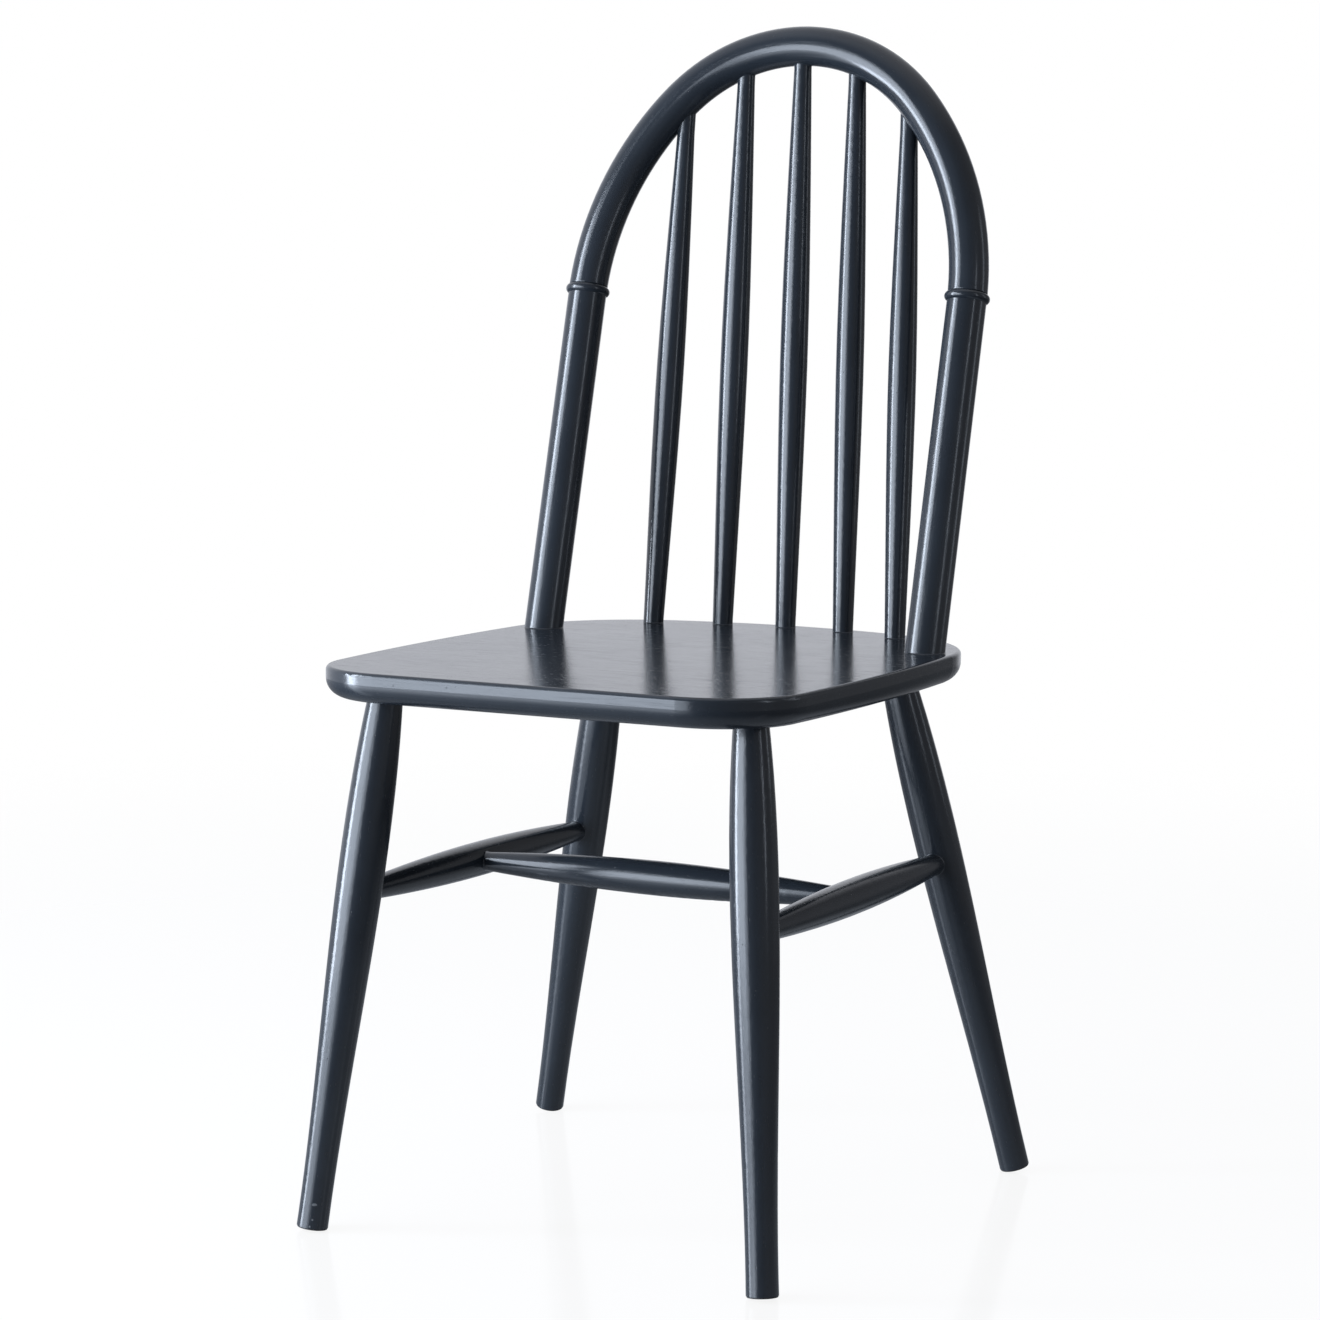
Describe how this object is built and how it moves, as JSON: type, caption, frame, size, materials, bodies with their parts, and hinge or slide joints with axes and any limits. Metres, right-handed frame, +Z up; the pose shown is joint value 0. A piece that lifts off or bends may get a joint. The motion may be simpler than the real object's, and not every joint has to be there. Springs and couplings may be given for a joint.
{
  "type": "hoop-back spindle chair",
  "caption": "Painted wooden dining chair with a flat rounded seat, splayed turned legs, an H of stretchers and a raked hoop back filled with spindles.",
  "frame": {"origin": "on the floor under the middle of the chair's box", "axes": "+Z up, -Y the way the sitter faces, +X to the right as seen from the front"},
  "size_m": [0.4732, 0.5088, 0.9627],
  "materials": {
    "painted_wood": "satin dark slate-navy paint over wood grain",
    "glide": "moulded dark plastic",
    "bare_wood": "bare turned hardwood, hidden inside the joint"
  },
  "bodies": {
    "root": {"seat": "painted_wood", "hoop": "painted_wood", "cross_stretcher": "painted_wood", "front_left_leg": "painted_wood", "rear_left_leg": "painted_wood", "left_side_stretcher": "painted_wood", "left_back_post": "painted_wood", "front_right_leg": "painted_wood", "rear_right_leg": "painted_wood", "right_side_stretcher": "painted_wood", "right_back_post": "painted_wood", "spindle_1": "painted_wood", "spindle_2": "painted_wood", "spindle_3": "painted_wood", "spindle_4": "painted_wood", "spindle_5": "painted_wood", "front_left_glide": "glide", "rear_left_glide": "glide", "front_right_glide": "glide", "rear_right_glide": "glide", "left_hoop_dowel": "bare_wood", "right_hoop_dowel": "bare_wood"}
  },
  "joints": []
}
